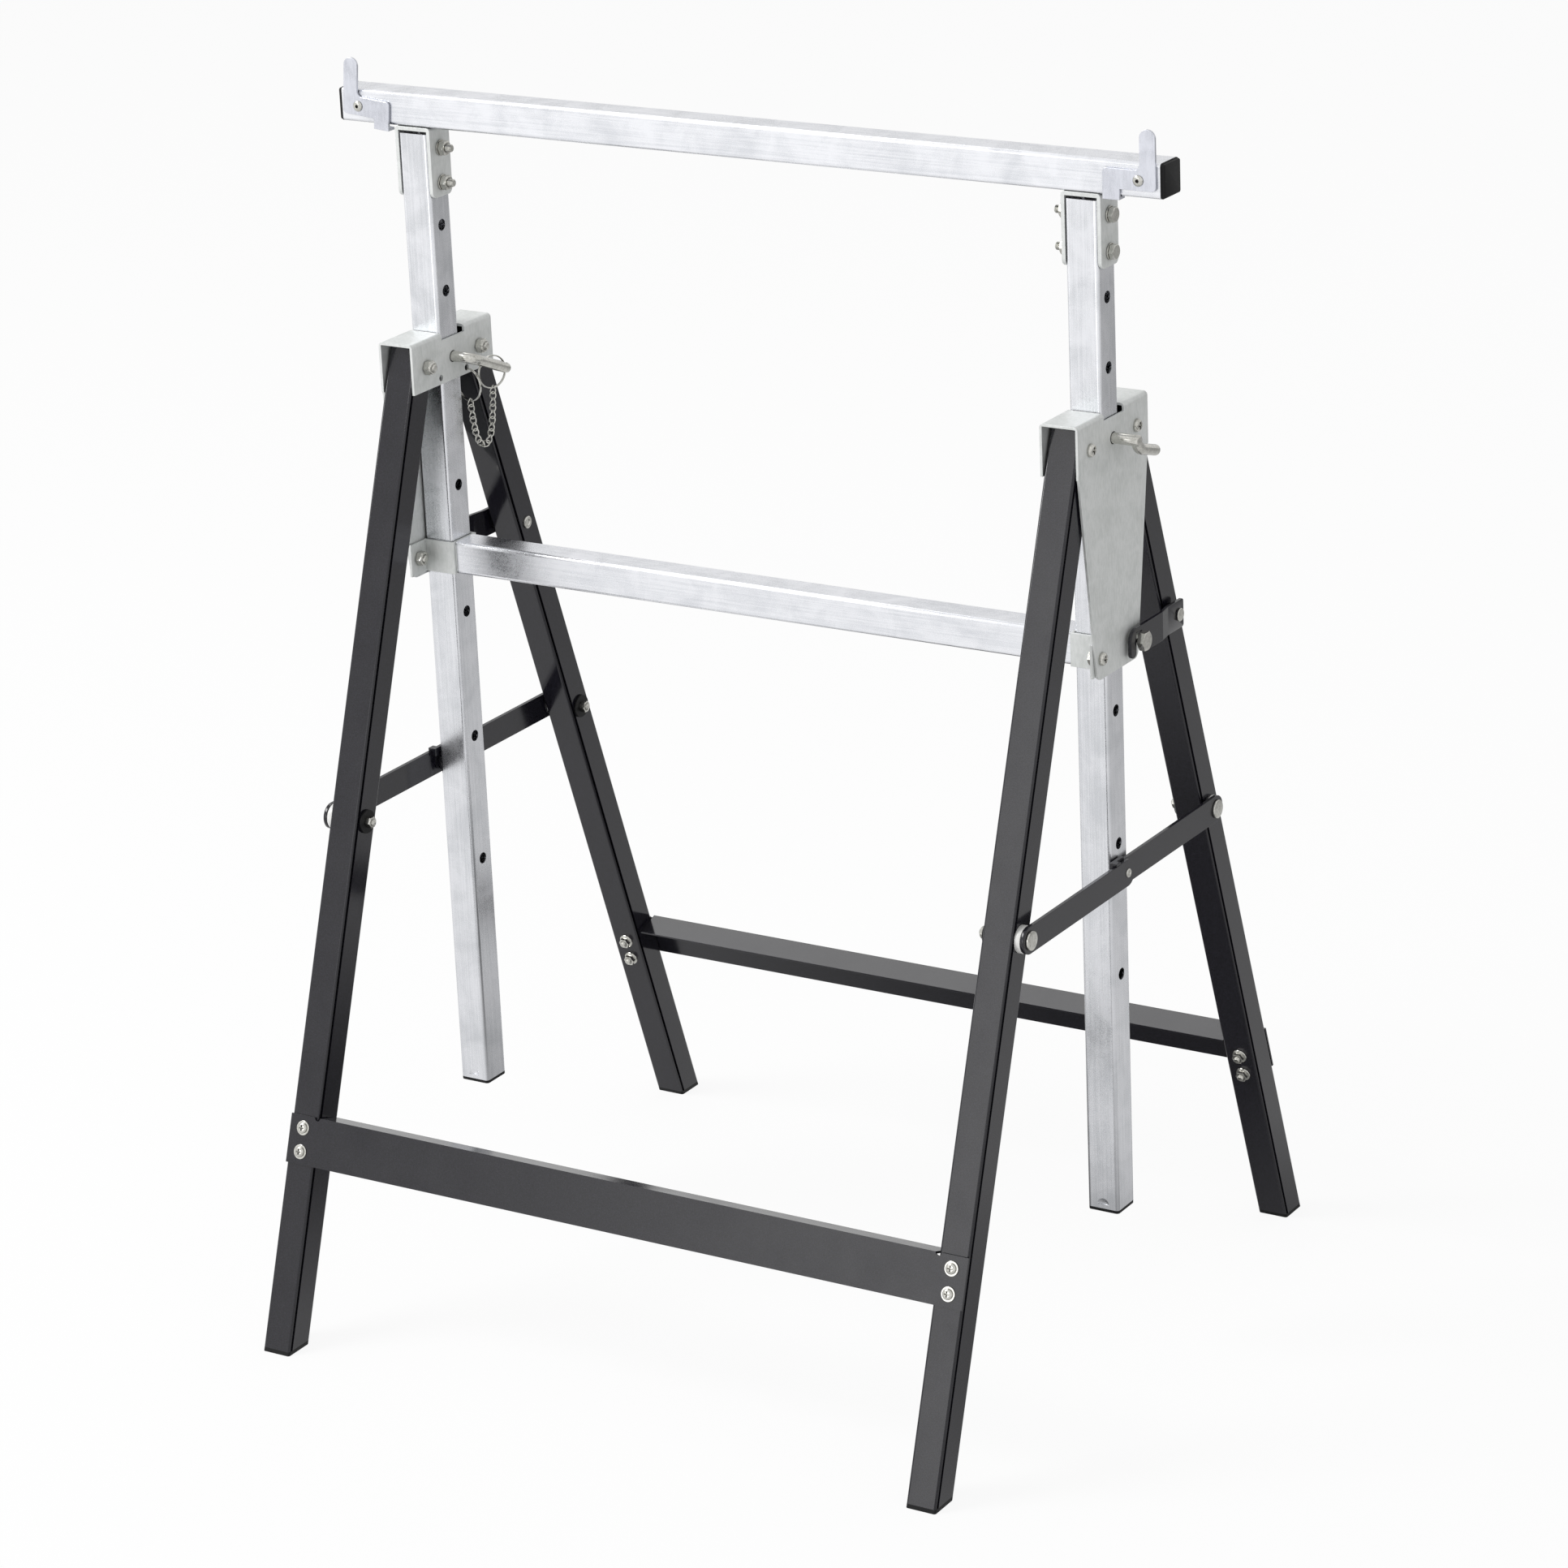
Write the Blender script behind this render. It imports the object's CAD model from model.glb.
import math

import bmesh
import bpy
from mathutils import Matrix, Vector


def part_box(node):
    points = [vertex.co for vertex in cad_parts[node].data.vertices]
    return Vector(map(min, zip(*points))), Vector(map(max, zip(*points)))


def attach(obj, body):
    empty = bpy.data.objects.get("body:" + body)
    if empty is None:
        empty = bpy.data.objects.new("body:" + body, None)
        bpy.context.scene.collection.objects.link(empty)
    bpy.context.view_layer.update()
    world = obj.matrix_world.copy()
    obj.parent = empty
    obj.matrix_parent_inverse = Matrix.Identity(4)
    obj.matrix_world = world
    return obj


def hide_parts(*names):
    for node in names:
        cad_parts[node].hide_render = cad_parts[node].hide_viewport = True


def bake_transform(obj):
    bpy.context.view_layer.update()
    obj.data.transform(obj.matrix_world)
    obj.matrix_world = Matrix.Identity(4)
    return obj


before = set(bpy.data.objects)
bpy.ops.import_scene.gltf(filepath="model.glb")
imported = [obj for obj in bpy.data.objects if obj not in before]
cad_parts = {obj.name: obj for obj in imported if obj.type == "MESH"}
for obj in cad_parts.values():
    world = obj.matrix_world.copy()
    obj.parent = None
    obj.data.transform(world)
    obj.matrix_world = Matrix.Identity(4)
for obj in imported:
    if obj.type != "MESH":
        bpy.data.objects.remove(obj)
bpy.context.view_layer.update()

# Camera: a long lens, well back from the trestle and above the height of its beam,
# so that the uprights stay almost parallel. The picture is square.
MM = 0.001
view_turn = math.radians(32.1745)
view_lift = math.radians(19.7416)
view_roll = math.radians(-2.5181)
view_from = Vector((1953.86, -3087.47, 1711.56)) * MM
lens_mm = 120.565
sensor_mm = 36

away = Vector((
    math.sin(view_turn) * math.cos(view_lift),
    -math.cos(view_turn) * math.cos(view_lift),
    math.sin(view_lift),
))
level = Vector((math.cos(view_turn), math.sin(view_turn), 0))
upright = away.cross(level)
side = math.cos(view_roll) * level + math.sin(view_roll) * upright
top = math.cos(view_roll) * upright - math.sin(view_roll) * level
camera_data = bpy.data.cameras.new("camera")
camera_data.lens = lens_mm
camera_data.sensor_width = sensor_mm
camera = bpy.data.objects.new("camera", camera_data)
camera.matrix_world = Matrix.Translation(view_from) @ Matrix((side, top, away)).transposed().to_4x4()
bpy.context.scene.collection.objects.link(camera)
bpy.context.scene.camera = camera


# Beam: a welded square tube that carries the load, of steel electroplated with zinc.
# It is cut to length after drawing, so the mill's marks run along it.
def linear(hex_colour):
    """Turns an sRGB hex colour into linear values."""
    parts = [int(hex_colour[i:i + 2], 16) / 255 for i in (1, 3, 5)]
    return [p / 12.92 if p <= 0.04045 else ((p + 0.055) / 1.055) ** 2.4 for p in parts] + [1.0]


def add(tree, kind, inputs, **settings):
    """Adds a shader node. An input is a plain value, or the output of another node."""
    node = tree.nodes.new("ShaderNode" + kind)
    for name, value in settings.items():
        setattr(node, name, value)
    for name, value in inputs.items():
        if isinstance(value, bpy.types.NodeSocket):
            tree.links.new(value, node.inputs[name])
        else:
            node.inputs[name].default_value = value
    return node


def bare_material(name):
    """A new material with an empty node tree."""
    material = bpy.data.materials.new(name)
    material.use_nodes = True
    material.node_tree.nodes.clear()
    return material, material.node_tree


MIX_A, MIX_B, MIX_OUT = 6, 7, 2  # colour sockets of a Mix node


def zinc_plate(name, light, dark, streaks_mm, rough, cloud_mm=26, grain_mm=0.8, metal_share=1.0):
    """Zinc plating over rolled steel: satin, cloudy where the bath worked unevenly, streaked by the mill.

    The streaks' spacing is given along X, Y and Z. The grain is drawn coarser than real, to show.
    Dust darkens the plating where pieces meet, and a dull film scatters what the metal share leaves.
    """
    material, tree = bare_material(name)
    worn_share, dust_share, dust_reach_mm = 0.62, 0.1, 3
    place = add(tree, "TexCoord", {}).outputs["Object"]
    drawn = add(tree, "Mapping", {"Vector": place, "Scale": [1 / (s * MM) for s in streaks_mm]}).outputs[0]
    streaks = add(tree, "TexNoise", {"Vector": drawn, "Scale": 1, "Detail": 4, "Roughness": 0.65}).outputs[0]
    clouds = add(tree, "TexNoise", {
        "Vector": place, "Scale": 1 / (cloud_mm * MM), "Detail": 4, "Roughness": 0.6, "Distortion": 0.6,
    }).outputs[0]
    grain = add(tree, "TexNoise", {"Vector": place, "Scale": 1 / (grain_mm * MM), "Detail": 3}).outputs[0]
    tone = add(tree, "Math", {0: clouds, 1: streaks}, operation="ADD").outputs[0]
    tone = add(tree, "MapRange", {"Value": tone, "From Min": 0.75, "From Max": 1.15}).outputs[0]
    colour = add(tree, "Mix", {0: tone, MIX_A: linear(dark), MIX_B: linear(light)}, data_type="RGBA")
    marks = add(tree, "MapRange", {
        "Value": streaks, "From Min": 0.66, "From Max": 0.76, "To Min": 0.0, "To Max": 0.5,
    }).outputs[0]
    worn = [worn_share * c for c in linear(dark)[:3]] + [1.0]
    colour = add(tree, "Mix", {
        0: marks, MIX_A: colour.outputs[MIX_OUT], MIX_B: worn,
    }, data_type="RGBA")
    open_air = add(tree, "AmbientOcclusion", {"Distance": dust_reach_mm * MM}, samples=6).outputs["AO"]
    clean = add(tree, "MapRange", {
        "Value": open_air, "From Min": 0.25, "From Max": 0.75, "To Min": 0.45, "To Max": 1.0,
    }).outputs[0]
    dusty = [dust_share * c for c in linear(dark)[:3]] + [1.0]
    colour = add(tree, "Mix", {
        0: clean, MIX_A: dusty, MIX_B: colour.outputs[MIX_OUT],
    }, data_type="RGBA")
    dull = add(tree, "Math", {0: clouds, 1: grain}, operation="ADD").outputs[0]
    satin = add(tree, "MapRange", {
        "Value": dull, "From Min": 0.7, "From Max": 1.3, "To Min": rough - 0.06, "To Max": rough + 0.08,
    }).outputs[0]
    relief = add(tree, "Math", {0: streaks, 1: grain}, operation="ADD").outputs[0]
    bumps = add(tree, "Bump", {"Height": relief, "Strength": 0.15, "Distance": 0.02 * MM}).outputs[0]
    metal = add(tree, "BsdfPrincipled", {
        "Base Color": colour.outputs[MIX_OUT], "Metallic": metal_share, "Roughness": satin, "Normal": bumps,
    })
    add(tree, "OutputMaterial", {"Surface": metal.outputs[0]})
    return material


def dress(material, edge_mm, *names):
    """Gives CAD nodes a finish and slightly eased edges."""
    for name in names:
        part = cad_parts[name]
        for holder in part.material_slots:
            holder.material = material
        part.modifiers.new("weld", "WELD").merge_threshold = 0.001 * MM
        flat = part.modifiers.new("flat", "DECIMATE")
        flat.decimate_type = "DISSOLVE"
        flat.angle_limit = math.radians(0.5)
        eased = part.modifiers.new("eased", "BEVEL")
        eased.width = edge_mm * MM
        eased.segments = 2
        eased.limit_method = "ANGLE"
        eased.angle_limit = math.radians(35)
        eased.harden_normals = True


zinc_along_x = zinc_plate("zinc_plated_tube_along_x", "#f2f3f7", "#dddfe4", (70, 1.1, 1.1), 0.27)
dress(zinc_along_x, 0.3, "top_beam")


# End caps of the beam: moulded black polyethylene, pushed into the tube's ends.
# A thin flange covers the cut edge and a tapered face stands out of it.
def moulded_plastic(name, colour, rough, gleam):
    """Moulded plastic: dull, with the mould's fine spark-eroded grain and faint patches."""
    material, tree = bare_material(name)
    grain_mm, patch_mm, patch_lift = 0.7, 9, 1.6
    place = add(tree, "TexCoord", {}).outputs["Object"]
    grain = add(tree, "TexNoise", {"Vector": place, "Scale": 1 / (grain_mm * MM), "Detail": 3}).outputs[0]
    patch = add(tree, "TexNoise", {"Vector": place, "Scale": 1 / (patch_mm * MM), "Detail": 3}).outputs[0]
    tint = add(tree, "Mix", {
        0: patch, MIX_A: linear(colour), MIX_B: [min(1.0, patch_lift * c) for c in linear(colour)],
    }, data_type="RGBA").outputs[MIX_OUT]
    dull = add(tree, "MapRange", {"Value": patch, "To Min": rough - 0.08, "To Max": rough + 0.08}).outputs[0]
    bumps = add(tree, "Bump", {"Height": grain, "Strength": 0.35, "Distance": 0.06 * MM}).outputs[0]
    plastic = add(tree, "BsdfPrincipled", {
        "Base Color": tint, "Roughness": dull, "IOR": 1.5, "Specular IOR Level": gleam, "Normal": bumps,
    })
    add(tree, "OutputMaterial", {"Surface": plastic.outputs[0]})
    return material


def skin(bm, loops, ring=False):
    """Joins loops of points into a closed surface, with end faces, or bent back into a ring."""
    rows = [[bm.verts.new(p) for p in loop] for loop in loops]
    pairs = list(zip(rows, rows[1:]))
    if ring:
        pairs.append((rows[-1], rows[0]))
    for low, high in pairs:
        for i in range(len(low)):
            j = (i + 1) % len(low)
            bm.faces.new((low[i], low[j], high[j], high[i]))
    if not ring:
        bm.faces.new(rows[0][::-1])
        bm.faces.new(rows[-1])


def stand(at, axis):
    """A frame at a point, with its Z along the axis."""
    return Matrix.Translation(at) @ axis.to_track_quat("Z", "Y").to_matrix().to_4x4()


def piece(name, bm, material, body, slot, *nodes):
    """Turns a mesh into a piece that rides on a body and stands for CAD nodes."""
    mesh = bpy.data.meshes.new(name)
    bmesh.ops.recalc_face_normals(bm, faces=bm.faces)
    bm.to_mesh(mesh)
    bm.free()
    for polygon in mesh.polygons:
        polygon.use_smooth = True
    mesh.set_sharp_from_angle(angle=math.radians(32))
    mesh.materials.append(material)
    made = bpy.data.objects.new(name, mesh)
    bpy.context.scene.collection.objects.link(made)
    if nodes:
        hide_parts(*nodes)
    if body:
        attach(made, body)
    return made


def soft_square(half, radius, height, steps=6):
    """A square loop with round corners, at a height."""
    points = []
    for quarter, (sign_x, sign_y) in enumerate(((1, 1), (-1, 1), (-1, -1), (1, -1))):
        for i in range(steps + 1):
            a = math.radians(90 * (quarter + i / steps))
            points.append(Vector((
                sign_x * (half - radius) + radius * math.cos(a),
                sign_y * (half - radius) + radius * math.sin(a),
                height,
            )))
    return points


black_polyethylene = moulded_plastic("black_polyethylene_moulded", "#121213", 0.48, 0.2)
# Heights, half widths and corner radii of the cap, from its plug to its face
cap_steps = [
    (-7.0, 10.8, 1.0), (0.0, 10.8, 1.0), (0.0, 12.4, 2.5), (0.9, 12.5, 2.5), (1.1, 12.35, 2.4),
    (1.1, 12.0, 1.5), (2.5, 11.7, 1.5), (2.85, 11.45, 1.4), (3.0, 11.1, 1.2),
]
beam_low, beam_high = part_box("top_beam")
beam_axis = (beam_low + beam_high) / 2
caps = bmesh.new()
for end, x in ((-1, beam_low.x), (1, beam_high.x)):
    seat = stand(Vector((x, beam_axis.y, beam_axis.z)), Vector((end, 0, 0)))
    skin(caps, [
        [seat @ p for p in soft_square(half * MM, radius * MM, height * MM)]
        for height, half, radius in cap_steps
    ])
piece("beam_caps", caps, black_polyethylene, "carriage", "black_plastic", "beam_end_caps")

# Saddles: U-straps of thick zinc-plated flat steel, bent round a column's top and
# welded under the beam. The flat's edges stay as sheared.
zinc_sheet = zinc_plate("zinc_plated_sheet_satin", "#e3e5e4", "#d3d6d4", (2.4, 2.4, 7), 0.5, 20, 0.9, 0.45)
dress(zinc_sheet, 0.5, "saddle_left", "saddle_right")

# Columns: the same square tube, sliding in the brackets, with pin holes drilled
# through both sides and a black plug in the lower end.
zinc_along_z = zinc_plate("zinc_plated_tube_along_z", "#e9eaee", "#d3d5d9", (1.1, 1.1, 70), 0.27)
dress(zinc_along_z, 0.25, "column_left", "column_right")
dress(black_polyethylene, 0.4, "column_plugs")


# Saddle bolts: M6 hexagon bolts with washers and nuts, bright zinc-plated.
# The heads are outside and the threads stand out of the nuts inside.
def solids(name):
    """The points of each separate solid in a CAD node, in a fixed order."""
    bm = bmesh.new()
    bm.from_mesh(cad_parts[name].data)
    bmesh.ops.remove_doubles(bm, verts=bm.verts, dist=0.001 * MM)
    found = []
    left = {v.index: v for v in bm.verts}
    while left:
        queue = [left.pop(min(left))]
        points = []
        while queue:
            vertex = queue.pop()
            points.append(vertex.co.copy())
            for edge in vertex.link_edges:
                other = edge.other_vert(vertex)
                if other.index in left:
                    queue.append(left.pop(other.index))
        found.append(points)
    bm.free()
    return sorted(found, key=lambda points: [
        round(sum(p[i] for p in points) / len(points), 5) for i in range(3)
    ])


def sideways(points, way=1):
    """Along X, out of the trestle on the solid's own side, or into it where the way is -1."""
    return Vector((way * math.copysign(1, points[0].x), 0, 0))


def measure(points, axis):
    """A solid's middle line along an axis: its lower end and its upper end."""
    across = axis.orthogonal().normalized()
    third = axis.cross(across)
    reach = [(min(p.dot(d) for p in points), max(p.dot(d) for p in points)) for d in (axis, across, third)]
    line = across * sum(reach[1]) / 2 + third * sum(reach[2]) / 2
    return line + axis * reach[0][0], line + axis * reach[0][1]


def turned(bm, place, profile, ring=False, steps=48):
    """Turns a profile of radii and heights round Z. Either may be a rule for the angle."""
    loops = []
    for radius, height in profile:
        loop = []
        for i in range(steps):
            a = 2 * math.pi * i / steps
            r = radius(a) if callable(radius) else radius
            z = height(a) if callable(height) else height
            loop.append(place @ (Vector((r * math.cos(a), r * math.sin(a), z)) * MM))
        loops.append(loop)
    skin(bm, loops, ring)


def hexagon(flats):
    """The radius of a hexagon of that size across flats, by the angle."""
    return lambda a: flats / 2 / math.cos(a % (math.pi / 3) - math.pi / 6)


CROWN_SHARE = 0.475  # radius of a hexagon's chamfered face, for its size across flats


def chamfered(flats, height, sign):
    """The height of a hexagon's edge where a 30 degree cone trims its corners."""
    wide = hexagon(flats)
    return lambda a: height - sign * (wide(a) - CROWN_SHARE * flats) * math.tan(math.radians(30))


def thread(size, pitch, start, end):
    """The profile of a screw thread, from its tip up. Its groove fades out at both ends."""
    depth = 0.54 * pitch
    tip_cut, tip_l = 0.12 * size, 0.6 * pitch
    rows_a_turn, rows_in, rows_out = 4, 5, 4
    rows = int((end - start) / pitch * rows_a_turn)
    profile = [(0.36 * size, start)]
    for row in range(1, rows):
        z = start + row * pitch / rows_a_turn
        fade = min(1, row / rows_in, (rows - row) / rows_out)
        taper = tip_cut * max(0, 1 - (z - start) / tip_l)

        def radius(a, z=z, fade=fade, taper=taper):
            groove = abs((z / pitch - a / (2 * math.pi)) % 1 * 2 - 1)
            return size / 2 - depth * fade * groove - taper

        profile.append((radius, z))
    return profile


def shank(size, pitch, reach, threaded, top):
    """The profile of a screw that reaches below its seat: a threaded tip, then plain up to a height."""
    return thread(size, pitch, -reach, threaded - reach) + [(size / 2, threaded - reach), (size / 2, top)]


def hex_bolt(bm, place, size, pitch, length, threaded, flats, head):
    """A hexagon bolt with its seat at the frame's origin and its head above it."""
    washer_face, washer_t = 0.46 * flats, 0.25
    turned(bm, place, shank(size, pitch, length, threaded, 0) + [
        (washer_face, 0), (washer_face, washer_t),
        (hexagon(flats), washer_t), (hexagon(flats), chamfered(flats, head, 1)),
        (CROWN_SHARE * flats, head), (0.43 * flats, head + 0.02), (0.2 * flats, head - 0.05),
    ])


def hex_nut(bm, place, size, flats, height):
    """A plain nut, chamfered on both sides, with its seat at the frame's origin."""
    turned(bm, place, [
        (0.5 * size, 0.4), (0.56 * size, 0),
        (CROWN_SHARE * flats, 0), (hexagon(flats), chamfered(flats, 0, -1)),
        (hexagon(flats), chamfered(flats, height, 1)), (CROWN_SHARE * flats, height),
        (0.56 * size, height), (0.5 * size, height - 0.4),
    ], ring=True)


bright_zinc = zinc_plate("zinc_plated_fastener_bright", "#d2d1cb", "#b3b2ac", (1.8, 1.8, 1.8), 0.15, 6, 0.5)
m6, m6_pitch, m6_flats, m6_head, m6_nut = 6, 1.0, 10, 4, 5
saddle_thread = 14
bolts = bmesh.new()
for solid in solids("saddle_bolts"):
    outward = sideways(solid)
    tip, crown = measure(solid, outward)
    seat = crown - outward * m6_head * MM
    reach = (seat - tip).length / MM
    hex_bolt(bolts, stand(seat, outward), m6, m6_pitch, reach, saddle_thread, m6_flats, m6_head)
piece("saddle_bolts_m6", bolts, bright_zinc, "carriage", "zinc_fastener", "saddle_bolts")
nuts = bmesh.new()
for solid in solids("saddle_nuts"):
    inward = sideways(solid, -1)
    hex_nut(nuts, stand(measure(solid, inward)[0], inward), m6, m6_flats, m6_nut)
piece("saddle_nuts_m6", nuts, bright_zinc, "carriage", "zinc_fastener", "saddle_nuts")
dress(bright_zinc, 0.2, "saddle_washers")

# End stops: stamped zinc-plated plates that turn on blind rivets in the beam's front.
# A finger stands above the beam and a tab under it stops the turn.
zinc_stamping = zinc_plate("zinc_plated_stamping_smooth", "#dcdee6", "#cbcdd5", (1.4, 1.4, 9), 0.3, 18, 0.8)
dress(zinc_stamping, 0.3, "stop_left", "stop_right")
forward = Vector((0, -1, 0))
rivets = bmesh.new()
mandrels = bmesh.new()
for solid in solids("stop_rivets"):
    tail, crown = measure(solid, forward)
    turned(rivets, stand(crown, forward), [
        (2.4, (tail - crown).length / -MM), (2.4, -1.6), (4.0, -1.6), (3.95, -1.25), (3.5, -0.7),
        (2.7, -0.25), (1.7, -0.02), (1.3, -0.1), (1.2, -0.5), (1.15, -1.3), (0.5, -1.35),
    ])
    turned(mandrels, stand(crown, forward), [(1.14, -1.3), (1.14, -0.5), (0.9, -0.4)])
piece("stop_blind_rivets", rivets, bright_zinc, "carriage", "zinc_fastener", "stop_rivets")
# Bare steel left in the rivet's bore: dark with oxide, and dull
dark_steel = zinc_plate("steel_mandrel_oxide_dull", "#2c2a29", "#191817", (1.2, 1.2, 1.2), 0.6, 3, 0.5)
piece("stop_rivet_mandrels", mandrels, dark_steel, "carriage", "zinc_fastener")

# Head brackets: folded zinc-plated sheet over the legs' upper ends, with a long
# tapered cheek outside. The columns slide through the notch in their tops.
dress(zinc_sheet, 0.35, "bracket_left", "bracket_right")

# Collars and cross rail: hat-shaped straps hold the columns to the long cheeks,
# and a square tube is tack-welded between them.
dress(zinc_sheet, 0.35, "collar_left", "collar_right")
dress(zinc_along_x, 0.3, "cross_rail")
rail_low, rail_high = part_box("cross_rail")
bead_r, bead_steps, bead_sides = 0.9, 24, 10
bead_inset, ripple, ripple_turn = 0.08, 0.16, 31
beads = bmesh.new()
for x, inward in ((rail_low.x, 1), (rail_high.x, -1)):
    for y in (rail_low.y, rail_high.y):
        loops = []
        for i in range(bead_steps + 1):
            share = i / bead_steps
            z = rail_low.z + (bead_inset + (1 - 2 * bead_inset) * share) * (rail_high.z - rail_low.z)
            swell = bead_r * math.sin(math.pi * min(1, bead_inset + share, 1 + bead_inset - share)) ** 0.4
            swell *= 1 + ripple * math.sin(ripple_turn * share)
            loops.append([
                Vector((
                    x + (0.7 * swell * math.cos(a) + 0.2) * inward * MM,
                    y + 0.8 * swell * math.sin(a) * MM,
                    z,
                )) for a in (2 * math.pi * k / bead_sides for k in range(bead_sides))
            ])
        skin(beads, loops)
piece("cross_rail_welds", beads, zinc_sheet, "head_frame", "zinc_sheet")


# Leg pivots: M6 pan-head screws with a cross recess, and self-locking nuts
# whose round collar grips the thread.
def cut(bm, cutters):
    """Cuts closed meshes out of another and gives the result as a mesh to copy."""
    scraps = []
    for part in [bm] + cutters:
        bmesh.ops.recalc_face_normals(part, faces=part.faces)
        mesh = bpy.data.meshes.new("scrap")
        part.to_mesh(mesh)
        part.free()
        scraps.append(bpy.data.objects.new("scrap", mesh))
        bpy.context.scene.collection.objects.link(scraps[-1])
    for cutter in scraps[1:]:
        hollow = scraps[0].modifiers.new("hollow", "BOOLEAN")
        hollow.operation = "DIFFERENCE"
        hollow.solver = "EXACT"
        hollow.object = cutter
    bpy.context.view_layer.update()
    result = bpy.data.meshes.new_from_object(scraps[0].evaluated_get(bpy.context.evaluated_depsgraph_get()))
    for scrap in scraps:
        bpy.data.objects.remove(scrap)
    return result


def cross_head(size, height, flange=0, flange_t=0):
    """A domed head with a pressed cross recess, its seat at the origin."""
    profile = [(0.1, 0)]
    if flange:
        profile += [(flange, 0), (flange, 0.8 * flange_t), (flange - 0.25, flange_t)]
    profile += [(0.5 * size, flange_t), (0.5 * size, flange_t + 0.3 * height)]
    dome_steps = 8
    for i in range(1, dome_steps):
        a = math.radians(90 * i / dome_steps)
        radius = 0.5 * size * (0.45 + 0.55 * math.cos(a))
        profile.append((radius, flange_t + height * (0.3 + 0.7 * math.sin(a))))
    profile.append((0.05, flange_t + height))
    head = bmesh.new()
    turned(head, Matrix(), profile)
    crown = flange_t + height
    blades = []
    for quarter in (0, 1):
        blade = bmesh.new()
        loops = []
        for z, long, wide in ((0.42, 0.13, 0.05), (0.75, 0.24, 0.062), (1.2, 0.30, 0.075)):
            corners = [(-long, -wide), (long, -wide), (long, wide), (-long, wide)]
            loops.append([Vector((x * size, y * size, z * crown)) * MM for x, y in corners])
        skin(blade, loops)
        bmesh.ops.rotate(blade, verts=blade.verts, matrix=Matrix.Rotation(quarter * math.pi / 2, 3, "Z"))
        blades.append(blade)
    return cut(head, blades)


def copy_in(bm, shape, place):
    """Adds a copy of a mesh in a frame."""
    before = len(bm.verts)
    bm.from_mesh(shape)
    bm.verts.ensure_lookup_table()
    bmesh.ops.transform(bm, matrix=place, verts=bm.verts[before:])


def cross_screw(bm, solid, outward, head, head_h, size, pitch, threaded):
    """A screw with a cross recess where a CAD solid lies, its shank sunk a little in the head."""
    sunk = 0.2
    tip, crown = measure(solid, outward)
    seat = crown - outward * head_h * MM
    copy_in(bm, head, stand(seat, outward))
    turned(bm, stand(seat, outward), shank(size, pitch, (seat - tip).length / MM, threaded, sunk))


pan_d, pan_h = 9.5, 3.4
pan_head = cross_head(pan_d, pan_h)
pivot_thread = 8
pivots = bmesh.new()
for solid in solids("leg_pivot_bolts"):
    cross_screw(pivots, solid, sideways(solid), pan_head, pan_h, m6, m6_pitch, pivot_thread)
piece("leg_pivot_screws", pivots, bright_zinc, "head_frame", "zinc_fastener", "leg_pivot_bolts")
lock_hex = 4.9
lock_nuts = bmesh.new()
for solid in solids("leg_pivot_nuts"):
    inward = sideways(solid, -1)
    turned(lock_nuts, stand(measure(solid, inward)[0], inward), [
        (3.0, 0.4), (3.4, 0), (4.75, 0), (hexagon(m6_flats), chamfered(m6_flats, 0, -1)),
        (hexagon(m6_flats), chamfered(m6_flats, lock_hex, 1)), (4.75, lock_hex),
        (4.7, 5.5), (4.4, 6.1), (3.8, 6.45), (3.3, 6.45), (3.05, 6.1),
    ], ring=True)
piece("leg_pivot_lock_nuts", lock_nuts, bright_zinc, "head_frame", "zinc_fastener", "leg_pivot_nuts")

# Collar fixings: the front ear has a pan-head screw and the rear ear a shoulder bolt
# that the hook drops over. Both have plain nuts inside the ears.
collar_thread = 6
collar_screws = bmesh.new()
for solid in solids("collar_screws"):
    cross_screw(collar_screws, solid, sideways(solid), pan_head, pan_h, m6, m6_pitch, collar_thread)
piece("collar_pan_screws", collar_screws, bright_zinc, "head_frame", "zinc_fastener", "collar_screws")
collar_nuts = bmesh.new()
for solid in solids("collar_nuts"):
    inward = sideways(solid, -1)
    hex_nut(collar_nuts, stand(measure(solid, inward)[0], inward), m6, m6_flats, m6_nut)
piece("collar_nuts_m6", collar_nuts, bright_zinc, "head_frame", "zinc_fastener", "collar_nuts")
stud_flats, stud_head, stud_d, stud_shoulder, stud_thread = 13, 5.3, 8, 6.0, 8
studs = bmesh.new()
for solid in solids("hook_studs"):
    outward = sideways(solid)
    tip, crown = measure(solid, outward)
    seat = crown - outward * stud_head * MM
    reach = (seat - tip).length / MM
    turned(studs, stand(seat, outward), shank(m6, m6_pitch, reach, stud_thread, -stud_shoulder) + [
        (stud_d / 2, -stud_shoulder), (stud_d / 2, 0), (6.1, 0), (6.1, 0.3),
        (hexagon(stud_flats), 0.3), (hexagon(stud_flats), chamfered(stud_flats, stud_head, 1)),
        (CROWN_SHARE * stud_flats, stud_head - 0.02), (0.45 * stud_flats, stud_head),
        (0.2 * stud_flats, stud_head),
    ])
piece("hook_shoulder_bolts", studs, bright_zinc, "head_frame", "zinc_fastener", "hook_studs")


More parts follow.
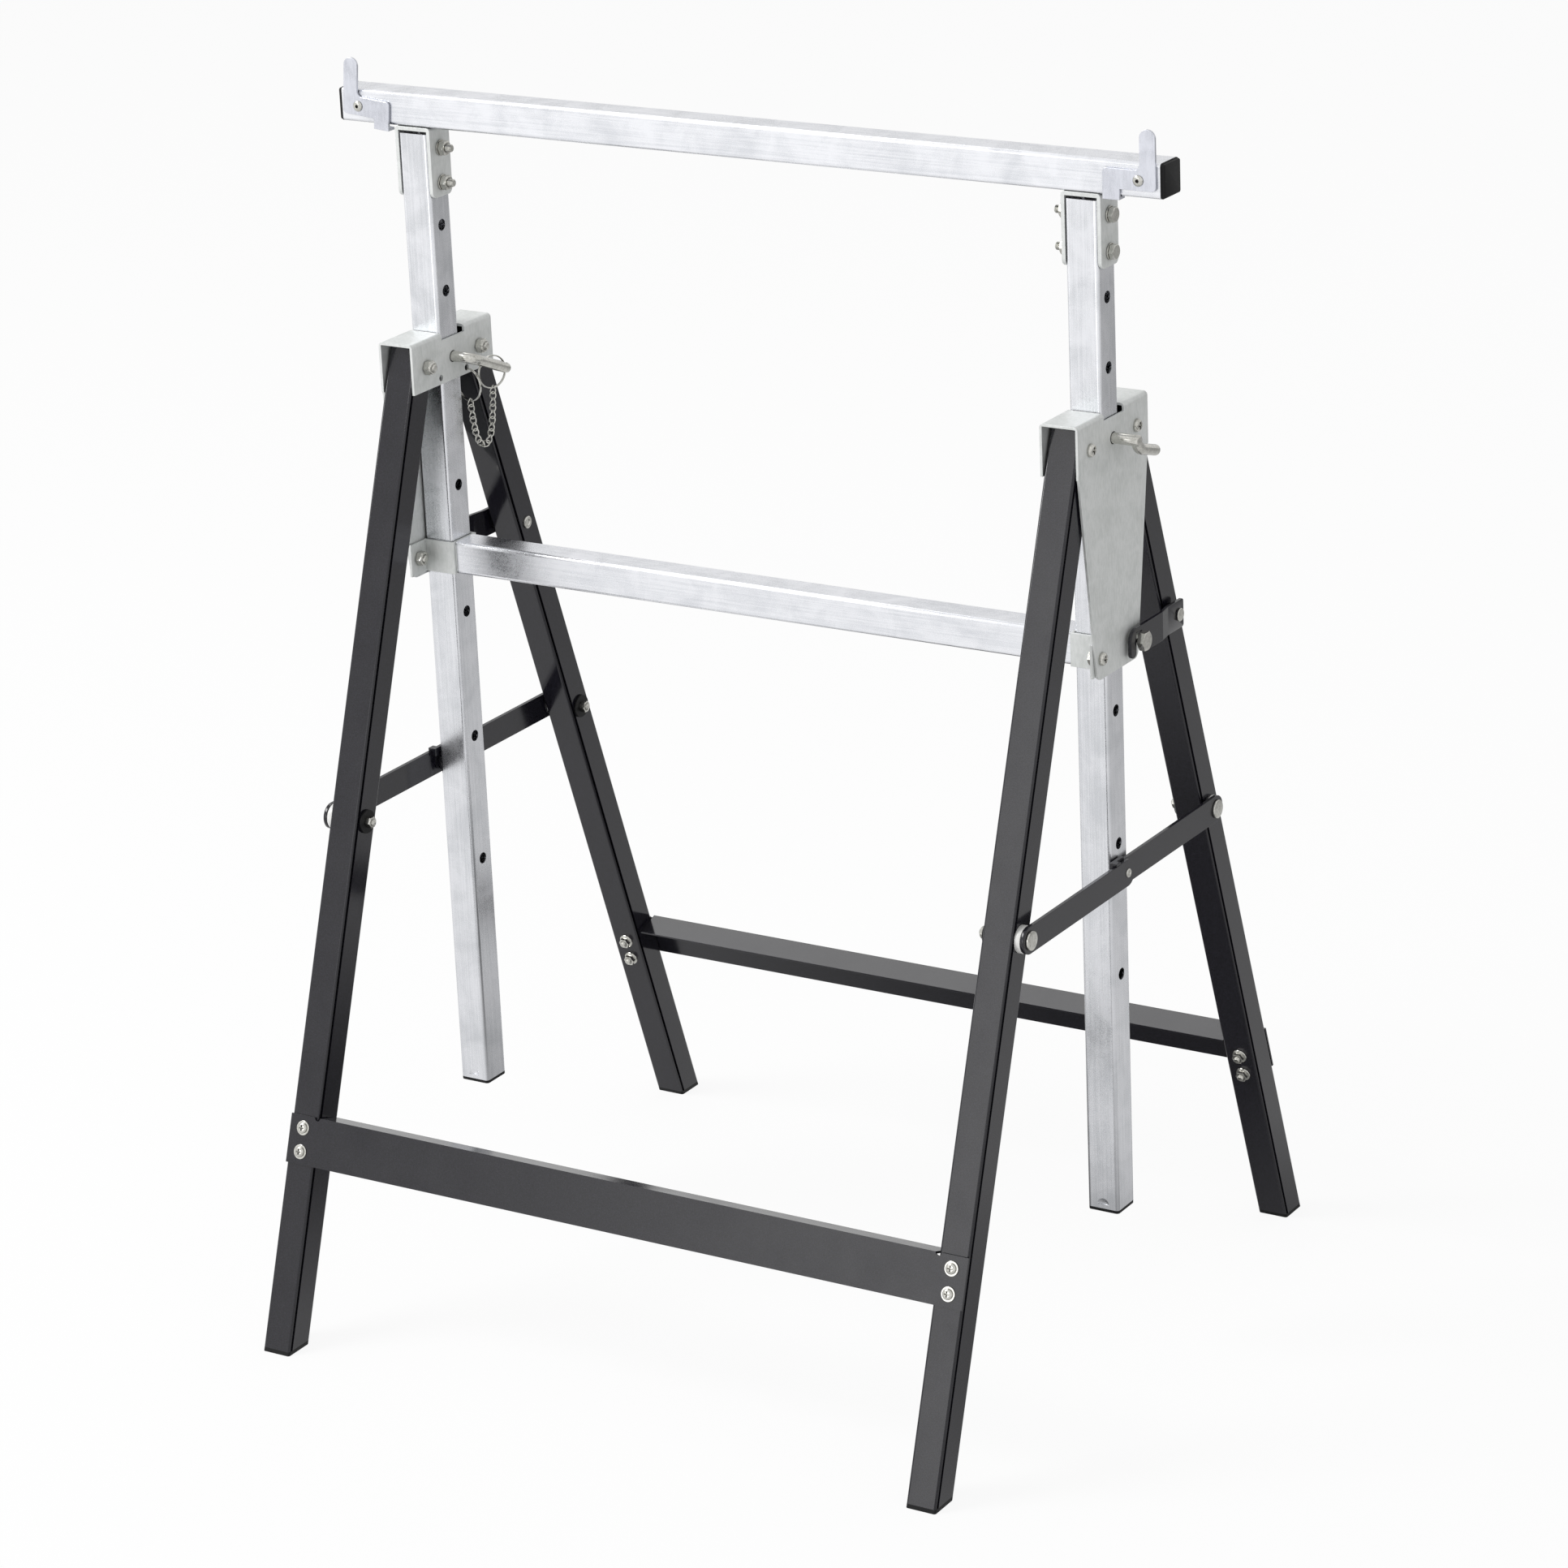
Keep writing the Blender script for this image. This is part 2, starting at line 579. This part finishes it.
# Legs: sheet steel folded to a box with an open seam along one corner, then
# powder-coated in charcoal black. Black plugs close the feet.
def powder_coat(name, colour, speck, rough):
    """Baked polyester powder over steel: semi-gloss, with orange peel and a fine speckle.

    The speckle is drawn coarser than real, to show.
    """
    material, tree = bare_material(name)
    peel_mm, speck_mm, cloud_mm = 2.2, 0.9, 34
    place = add(tree, "TexCoord", {}).outputs["Object"]
    peel = add(tree, "TexNoise", {"Vector": place, "Scale": 1 / (peel_mm * MM), "Detail": 2}).outputs[0]
    specks = add(tree, "TexNoise", {
        "Vector": place, "Scale": 1 / (speck_mm * MM), "Detail": 3, "Roughness": 0.7,
    }).outputs[0]
    clouds = add(tree, "TexNoise", {"Vector": place, "Scale": 1 / (cloud_mm * MM), "Detail": 4}).outputs[0]
    tone = add(tree, "MapRange", {"Value": specks, "From Min": 0.4, "From Max": 0.75}).outputs[0]
    tint = add(tree, "Mix", {
        0: tone, MIX_A: linear(colour), MIX_B: linear(speck),
    }, data_type="RGBA").outputs[MIX_OUT]
    gloss = add(tree, "MapRange", {
        "Value": clouds, "From Min": 0.3, "From Max": 0.7, "To Min": rough - 0.03, "To Max": rough + 0.05,
    }).outputs[0]
    relief = add(tree, "Math", {0: peel, 1: specks}, operation="ADD").outputs[0]
    bumps = add(tree, "Bump", {"Height": relief, "Strength": 0.22, "Distance": 0.02 * MM}).outputs[0]
    coat = add(tree, "BsdfPrincipled", {
        "Base Color": tint, "Roughness": gloss, "IOR": 1.5, "Normal": bumps,
    })
    add(tree, "OutputMaterial", {"Surface": coat.outputs[0]})
    return material


black_powder_coat = powder_coat("charcoal_polyester_powder_coat", "#0e0d13", "#27262f", 0.13)
dress(black_powder_coat, 0.35, "leg_front_left", "leg_front_right", "leg_rear_left", "leg_rear_right")
dress(black_polyethylene, 0.5, "front_foot_plugs", "rear_foot_plugs")

# Rails: powder-coated steel angles, their webs screwed to the outer leg faces
# and their flanges set between the legs.
dress(black_powder_coat, 0.6, "front_rail", "rear_rail")
lean = math.radians(19)
screw_flange, screw_flange_t, screw_pan, screw_pan_h = 5.5, 0.8, 8, 1.92
rail_head = cross_head(screw_pan, screw_pan_h, screw_flange, screw_flange_t)
m5, m5_pitch, m5_flats, m5_nut, m5_thread = 5, 0.8, 8, 4.5, 9
for end, where in ((-1, "front"), (1, "rear")):
    outward = Vector((0, end * math.cos(lean), math.sin(lean)))
    screws = bmesh.new()
    for solid in solids(where + "_rail_screws"):
        cross_screw(screws, solid, outward, rail_head, screw_flange_t + screw_pan_h, m5, m5_pitch, m5_thread)
    piece(where + "_rail_cross_screws", screws, bright_zinc, where + "_frame", "zinc_fastener",
          where + "_rail_screws")
    flange_nuts = bmesh.new()
    for solid in solids(where + "_rail_nuts"):
        seat = measure(solid, -outward)[0]
        turned(flange_nuts, stand(seat, -outward), [
            (2.5, 0.3), (2.9, 0), (5.6, 0), (5.75, 0.3), (5.5, 0.8), (4.4, 1.3), (hexagon(m5_flats), 1.4),
            (hexagon(m5_flats), chamfered(m5_flats, m5_nut, 1)), (CROWN_SHARE * m5_flats, m5_nut),
            (2.9, m5_nut), (2.5, m5_nut - 0.3),
        ], ring=True)
    piece(where + "_rail_flange_nuts", flange_nuts, bright_zinc, where + "_frame", "zinc_fastener",
          where + "_rail_nuts")

# Struts: two flat powder-coated links a side, joined by a rivet in the middle.
# A tab on the rear link rests on the front one, so that the strut locks straight.
dress(black_powder_coat, 0.5, "strut_front_left", "strut_front_right", "strut_rear_left", "strut_rear_right")
for where in ("left", "right"):
    dress(bright_zinc, 0.15, "strut_rivet_rear_" + where)
    rivet = bmesh.new()
    for solid in solids("strut_rivet_front_" + where):
        outward = sideways(solid)
        tail, crown = measure(solid, outward)
        turned(rivet, stand(crown, outward), [
            (2.25, (tail - crown).length / -MM), (2.25, -1.2), (3.4, -1.2), (3.4, -0.85), (3.2, -0.4),
            (2.75, -0.08), (2.1, 0), (1.65, -0.1), (1.3, -0.45), (1.1, -0.8), (0.3, -0.8),
        ])
    piece("strut_mid_rivet_" + where, rivet, bright_zinc, "front_" + where + "_link", "zinc_fastener",
          "strut_rivet_front_" + where)

# Strut pivots: flat-headed M5 bolts through the links, with a white nylon spacer
# against the leg and a black washer and nut on its inner side.
white_nylon = moulded_plastic("white_nylon_turned", "#d9d8d3", 0.36, 0.5)
strut_head = 1.8
for where in ("front", "rear"):
    heads = bmesh.new()
    for solid in solids(where + "_strut_bolts"):
        outward = sideways(solid)
        tip, crown = measure(solid, outward)
        reach = (crown - tip).length / MM
        turned(heads, stand(crown, outward), shank(m5, m5_pitch, reach, m5_thread, -strut_head) + [
            (6.8, -strut_head), (7.0, -1.6), (7.0, -0.5), (6.85, -0.2), (6.4, -0.03), (3, 0),
        ])
    piece(where + "_strut_flat_bolts", heads, bright_zinc, where + "_frame", "zinc_fastener",
          where + "_strut_bolts")
    nuts = bmesh.new()
    for solid in solids(where + "_strut_nuts"):
        inward = sideways(solid, -1)
        hex_nut(nuts, stand(measure(solid, inward)[0], inward), m5, m5_flats, m5_nut)
    piece(where + "_strut_nuts_m5", nuts, bright_zinc, where + "_frame", "zinc_fastener",
          where + "_strut_nuts")
    dress(white_nylon, 0.25, where + "_strut_spacers")
    dress(black_polyethylene, 0.3, where + "_strut_washers")

# Hooks: bent powder-coated straps riveted to the rear legs. Each drops over its
# shoulder bolt and keeps the trestle open.
dress(black_powder_coat, 0.5, "hook_left", "hook_right")
tubular = bmesh.new()
for solid in solids("hook_rivets"):
    outward = sideways(solid)
    end, crown = measure(solid, outward)
    long = (crown - end).length / MM
    turned(tubular, stand(end, outward), [
        (0.3, 0.9), (1.9, 0.9), (2.25, 0.6), (2.6, 0.15), (3.2, 0), (4.2, 0.1), (4.8, 0.5), (5.0, 1.1),
        (4.9, 1.6), (3.0, 1.6), (3.0, long - 1.5), (4.7, long - 1.5), (4.8, long - 1.3), (4.8, long - 0.5),
        (4.5, long - 0.15), (3.8, long), (1.0, long),
    ])
piece("hook_tubular_rivets", tubular, bright_zinc, "rear_frame", "zinc_fastener", "hook_rivets")
dress(black_polyethylene, 0.3, "hook_spacers")

# Locking pins: round zinc-plated bar, bent to a handle with a domed end. The left one is
# drilled upright near its end, and the right one is cranked at the bend.
# Both stand drawn back in the cheeks' holes.
pin_d, pin_tip, pin_bend, pin_hole, pin_hole_in, pin_z = 8, 1.7, 8, 4.4, 5, 0.7
pin_nose, pin_chamfer = 3.6, 0.4
side_x, length_y, upward = Vector((1, 0, 0)), Vector((0, 1, 0)), Vector((0, 0, 1))


def bar_loop(at, across, over, radius):
    """A loop round a bar."""
    sides = 32
    turns = (2 * math.pi * k / sides for k in range(sides))
    return [(at + radius * (across * math.cos(a) + over * math.sin(a))) * MM for a in turns]


def domed(loops, start, arm):
    """Carries a bar on along Y from a start to a domed end."""
    loops.append(bar_loop(Vector((0, start, 0)), -side_x, upward, pin_d / 2))
    dome_steps = 12
    for i in range(dome_steps):
        a = math.radians(90 * i / (dome_steps - 0.5))
        along = arm - pin_d / 2 + pin_d / 2 * math.sin(a)
        loops.append(bar_loop(Vector((0, along, 0)), -side_x, upward, pin_d / 2 * math.cos(a)))


left_stand, left_arm, left_droop = 18, 49, math.radians(23)
bend_steps = 12
nose_x = -left_stand - pin_tip
loops = [
    bar_loop(Vector((nose_x, 0, 0)), length_y, upward, pin_nose),
    bar_loop(Vector((nose_x + pin_chamfer, 0, 0)), length_y, upward, pin_d / 2),
]
for i in range(bend_steps + 1):
    a = math.radians(90 * i / bend_steps)
    at = Vector((-pin_bend + pin_bend * math.sin(a), pin_bend - pin_bend * math.cos(a), 0))
    loops.append(bar_loop(at, math.cos(a) * length_y - math.sin(a) * side_x, upward, pin_d / 2))
domed(loops, pin_bend + 2, left_arm)
bar = bmesh.new()
skin(bar, loops)
drill = bmesh.new()
hole_at = Matrix.Translation(length_y * (left_arm - pin_hole_in) * MM) @ Matrix.Rotation(left_droop, 4, "X")
drill_l = 12
turned(drill, hole_at, [(pin_hole / 2, -drill_l), (pin_hole / 2, drill_l)], steps=32)
pin_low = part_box("pin_left")[0]
cheek_at = Vector((pin_low.x + pin_tip * MM, 0, pin_z))
pins = bmesh.new()
copy_in(pins, cut(bar, [drill]),
        Matrix.Translation(cheek_at + side_x * left_stand * MM) @ Matrix.Rotation(-left_droop, 4, "X"))
piece("pin_left_bar", pins, bright_zinc, "left_pin", "zinc_fastener", "pin_left")

right_stand, right_arm, crank = 17, 27.5, 9.5
right_droop, crank_droop = math.radians(17), math.radians(52)
pin_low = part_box("pin_right")[0]
cheek_at = Vector((pin_low.x + pin_tip * MM, 0, pin_z))
pins = bmesh.new()
turned(pins, stand(cheek_at, side_x), [
    (pin_nose, -pin_tip), (pin_d / 2, pin_chamfer - pin_tip), (pin_d / 2, right_stand + 3.2),
    (3.8, right_stand + 3.6), (3.0, right_stand + 4.0), (1.2, right_stand + 4.1),
])
bend = crank_droop - right_droop
knee = Vector((0, -crank * math.cos(bend), crank * math.sin(bend)))
over = math.cos(bend) * upward + math.sin(bend) * length_y
loops = [bar_loop(knee, -side_x, over, 3.8), bar_loop(knee * 0.35, -side_x, over, pin_d / 2)]
round_share, round_steps = 0.3, 5
for i in range(round_steps + 1):
    share = i / round_steps
    lean_back = bend * (1 - share)
    over = math.cos(lean_back) * upward + math.sin(lean_back) * length_y
    at = knee * round_share * (1 - share) ** 2 + length_y * round_share * crank * share ** 2
    loops.append(bar_loop(at, -side_x, over, 4.1))
domed(loops, round_share * crank + 1.5, right_arm)
bar = bmesh.new()
skin(bar, loops)
arm_mesh = bpy.data.meshes.new("arm")
bar.to_mesh(arm_mesh)
bar.free()
crank_at = Vector((right_stand, crank * math.cos(crank_droop), -crank * math.sin(crank_droop)))
copy_in(pins, arm_mesh, Matrix.Translation(cheek_at + crank_at * MM) @ Matrix.Rotation(-right_droop, 4, "X"))
piece("pin_right_bar", pins, bright_zinc, "right_pin", "zinc_fastener", "pin_right")


# Chain: a light curb chain of twisted wire links, hung between two split rings,
# one in the left bracket and one in the end of the left pin.
def wire(bm, path, radius, sides=10, ring=True):
    """A round wire along a path of points."""
    loops = []
    count = len(path)
    normal = None
    for i, here in enumerate(path):
        ahead = path[(i + 1) % count] if ring or i + 1 < count else here
        behind = path[i - 1] if ring or i else here
        along = (ahead - behind).normalized()
        if normal is None:
            normal = along.orthogonal().normalized()
        normal = (normal - along * normal.dot(along)).normalized()
        other = along.cross(normal)
        loops.append([
            here + radius * (math.cos(a) * normal + math.sin(a) * other)
            for a in (2 * math.pi * k / sides for k in range(sides))
        ])
    skin(bm, loops, ring)


def split_ring(bm, middle, turn, radius_mm, wire_mm):
    """A ring of two turns of wire, standing on edge and turned round the vertical."""
    path = []
    flat = Vector((math.cos(turn), math.sin(turn), 0))
    across = Vector((-math.sin(turn), math.cos(turn), 0))
    steps, crossing, turn_gap = 120, 0.4, 1.04
    for i in range(steps + 1):
        a = 4 * math.pi * i / steps
        step = max(-1, min(1, (a - 2 * math.pi) / crossing))
        spread = 0.5 * wire_mm * turn_gap * step
        rim = radius_mm * MM * (math.cos(a) * flat + math.sin(a) * upward)
        path.append(middle + rim + across * spread * MM)
    wire(bm, path, wire_mm / 2 * MM, ring=False)


ring_r, ring_wire = 12.4, 1.0
pin_ring_low, pin_ring_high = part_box("pin_ring")
pin_ring_middle = (pin_ring_low + pin_ring_high) / 2
pin_ring_turn = math.radians(72)
rings = bmesh.new()
split_ring(rings, pin_ring_middle, pin_ring_turn, ring_r, ring_wire)
piece("pin_split_ring", rings, bright_zinc, "left_pin", "zinc_fastener", "pin_ring")
bracket_ring_points = max(
    solids("pin_chain"), key=lambda points: max(p.z for p in points) - min(p.z for p in points),
)
bracket_ring_middle = sum(bracket_ring_points, Vector()) / len(bracket_ring_points)
bracket_ring_turn = math.radians(-12)
rings = bmesh.new()
split_ring(rings, bracket_ring_middle, bracket_ring_turn, ring_r, ring_wire)
piece("bracket_split_ring", rings, bright_zinc, "head_frame", "zinc_fastener", "pin_chain")

link_wire, link_long, link_wide, chain_pitch, chain_links = 1.1, 7.5, 5.4, 4.8, 18
link_roll, link_twist, link_steps = math.radians(25), math.radians(45), 28
link_play, link_fullness = 0.4, 0.9
grip = Vector((0, 0, ring_r - link_wire / 2 - link_play)) * MM
chain_first = bracket_ring_middle - grip
chain_last = pin_ring_middle - grip
chain_flat = (chain_last - chain_first).xy.length
chain_way = Vector(((chain_last - chain_first).x, (chain_last - chain_first).y, 0)).normalized()
# The catenary's size is found by halving, from the chain's length and its ends
chain_l = chain_links * chain_pitch * MM
chain_rise = chain_last.z - chain_first.z
bow_low, bow_high = 0.02 * chain_flat, chain_flat
halvings = 60
for _ in range(halvings):
    bow = (bow_low + bow_high) / 2
    if 2 * bow * math.sinh(chain_flat / (2 * bow)) > math.sqrt(chain_l ** 2 - chain_rise ** 2):
        bow_low = bow
    else:
        bow_high = bow
chain_bottom = chain_flat / 2 - bow * math.atanh(chain_rise / chain_l)


def chain_point(s):
    """A point of the hanging chain, a catenary."""
    along = chain_bottom + bow * math.asinh(s / bow + math.sinh(-chain_bottom / bow))
    up = bow * (math.cosh((along - chain_bottom) / bow) - math.cosh(-chain_bottom / bow))
    return chain_first + chain_way * along + upward * up


chain = bmesh.new()
for k in range(chain_links):
    start = chain_point(k * chain_pitch * MM)
    end = chain_point((k + 1) * chain_pitch * MM)
    along = (end - start).normalized()
    across = chain_way.cross(upward)
    over = across.cross(along)
    roll = link_roll if k % 2 else -link_roll
    out = math.cos(roll) * across - math.sin(roll) * over
    flat = math.cos(roll) * over + math.sin(roll) * across
    middle = (start + end) / 2
    half = (link_long - link_wire) / 2 * MM
    wide = (link_wide - link_wire) / 2 * MM
    path = []
    for i in range(link_steps):
        a = 2 * math.pi * i / link_steps
        x = half * math.copysign(abs(math.cos(a)) ** link_fullness, math.cos(a))
        y = wide * math.sin(a)
        twist = link_twist * x / half
        path.append(middle + along * x + y * (math.cos(twist) * flat + math.sin(twist) * out))
    wire(chain, path, link_wire / 2 * MM, sides=8)
chain_piece = piece("pin_curb_chain", chain, bright_zinc, None, "zinc_fastener", "pin_chain")
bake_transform(chain_piece)

# Studio: a plain white floor under soft light from the front left. The camera sees it
# almost white, with a faint shadow. Reflections see it dimmer towards the back right,
# and dark under the trestle.
floor_half = 40
floor_mesh = bpy.data.meshes.new("floor")
floor_mesh.from_pydata(
    [(x * floor_half, y * floor_half, 0) for x, y in ((-1, -1), (1, -1), (1, 1), (-1, 1))],
    [], [(0, 1, 2, 3)],
)
floor = bpy.data.objects.new("floor", floor_mesh)
bpy.context.scene.collection.objects.link(floor)
white = (1, 1, 1, 1)
white_floor, tree = bare_material("white_painted_floor")
lit_way, under_at, camera_share = (-0.53, -0.85, 0), (0.12, 0.06, 0), 0.9
place = add(tree, "TexCoord", {}).outputs["Object"]
toward = add(tree, "VectorMath", {0: place, 1: lit_way}, operation="DOT_PRODUCT").outputs["Value"]
fall = add(tree, "MapRange", {
    "Value": toward, "From Min": -2.3, "From Max": 0.6, "To Min": 0.46, "To Max": 0.9,
}).outputs[0]
front = add(tree, "MapRange", {
    "Value": toward, "From Min": 0.6, "From Max": 2.6, "To Min": 0.0, "To Max": 0.12,
}).outputs[0]
fall = add(tree, "Math", {0: fall, 1: front}, operation="ADD").outputs[0]
out = add(tree, "VectorMath", {0: place, 1: under_at}, operation="DISTANCE").outputs["Value"]
shade = add(tree, "MapRange", {
    "Value": out, "From Min": 0.13, "From Max": 0.46, "To Min": 0.2, "To Max": 1.0,
}).outputs[0]
level_seen = add(tree, "Math", {0: fall, 1: shade}, operation="MULTIPLY").outputs[0]
paint = add(tree, "BsdfDiffuse", {"Color": linear("#f8f8f8")}).outputs[0]
sheen = add(tree, "Emission", {"Color": white, "Strength": level_seen}).outputs[0]
glow = add(tree, "Emission", {"Color": white, "Strength": 1.0}).outputs[0]
rays = add(tree, "LightPath", {}).outputs
mirrored = add(tree, "Math", {
    0: rays["Is Glossy Ray"], 1: rays["Is Transmission Ray"],
}, operation="MAXIMUM").outputs[0]
lit = add(tree, "MixShader", {0: mirrored, 1: paint, 2: sheen}).outputs[0]
seen = add(tree, "Math", {0: rays["Is Camera Ray"], 1: camera_share}, operation="MULTIPLY").outputs[0]
mixed = add(tree, "MixShader", {0: seen, 1: lit, 2: glow})
add(tree, "OutputMaterial", {"Surface": mixed.outputs[0]})
floor_mesh.materials.append(white_floor)

# Room round the floor: even white to the camera and in reflections, a little dimmer at the
# back, and a softer level as light. Two soft panels gleam in it, one at the front left for
# the front legs' faces and one high at the back left for the rear rail's flange.
ambient_level = 0.6
panel_way, panel_level = (-0.3345, -0.9192, 0.2079), 2.6
above_way, above_level = (-0.48, 0.43, 0.765), 1.9
world = bpy.data.worlds.new("studio")
bpy.context.scene.world = world
world.use_nodes = True
tree = world.node_tree
tree.nodes.clear()
ambient = add(tree, "Background", {"Color": white, "Strength": ambient_level})
looking = add(tree, "TexCoord", {}).outputs["Generated"]
panel = add(tree, "VectorMath", {0: looking, 1: panel_way}, operation="DOT_PRODUCT").outputs["Value"]
panel = add(tree, "MapRange", {
    "Value": panel, "From Min": 0.968, "From Max": 0.992, "To Min": 1.0, "To Max": panel_level,
}, interpolation_type="SMOOTHSTEP").outputs[0]
back = add(tree, "VectorMath", {0: looking, 1: length_y}, operation="DOT_PRODUCT").outputs["Value"]
back = add(tree, "MapRange", {
    "Value": back, "From Min": -0.3, "From Max": 0.5, "To Min": 1.0, "To Max": 0.8,
}).outputs[0]
panel = add(tree, "Math", {0: panel, 1: back}, operation="MULTIPLY").outputs[0]
above = add(tree, "VectorMath", {0: looking, 1: above_way}, operation="DOT_PRODUCT").outputs["Value"]
above = add(tree, "MapRange", {
    "Value": above, "From Min": 0.965, "From Max": 0.992, "To Min": 0.0, "To Max": above_level,
}, interpolation_type="SMOOTHSTEP").outputs[0]
panel = add(tree, "Math", {0: panel, 1: above}, operation="ADD").outputs[0]
bright = add(tree, "Background", {"Color": white, "Strength": panel})
rays = add(tree, "LightPath", {}).outputs
share = add(tree, "Math", {
    0: rays["Is Camera Ray"], 1: rays["Is Glossy Ray"],
}, operation="MAXIMUM").outputs[0]
share = add(tree, "Math", {0: share, 1: rays["Is Transmission Ray"]}, operation="MAXIMUM").outputs[0]
mixed = add(tree, "MixShader", {0: share, 1: ambient.outputs[0], 2: bright.outputs[0]})
add(tree, "OutputWorld", {"Surface": mixed.outputs[0]})

# Lamp: one large softbox, high at the front left, which gives the floor its faint shadow
# and lights the upper faces.
lamp_at, lamp_target = Vector((-2.6, -2.0, 3.3)), Vector((0, 0, 0.4))
lamp_side, lamp_power = 1.8, 105
lamp = bpy.data.lights.new("key_softbox", "AREA")
lamp.shape = "RECTANGLE"
lamp.size = lamp_side
lamp.size_y = lamp_side
lamp.energy = lamp_power
softbox = bpy.data.objects.new("key_softbox", lamp)
aim = (lamp_at - lamp_target).normalized()
wide_way = (side_x - aim * aim.x).normalized()
turn = Matrix((wide_way, aim.cross(wide_way), aim)).transposed().to_4x4()
softbox.matrix_world = Matrix.Translation(lamp_at) @ turn
bpy.context.scene.collection.objects.link(softbox)

bpy.context.scene.view_settings.view_transform = "Standard"
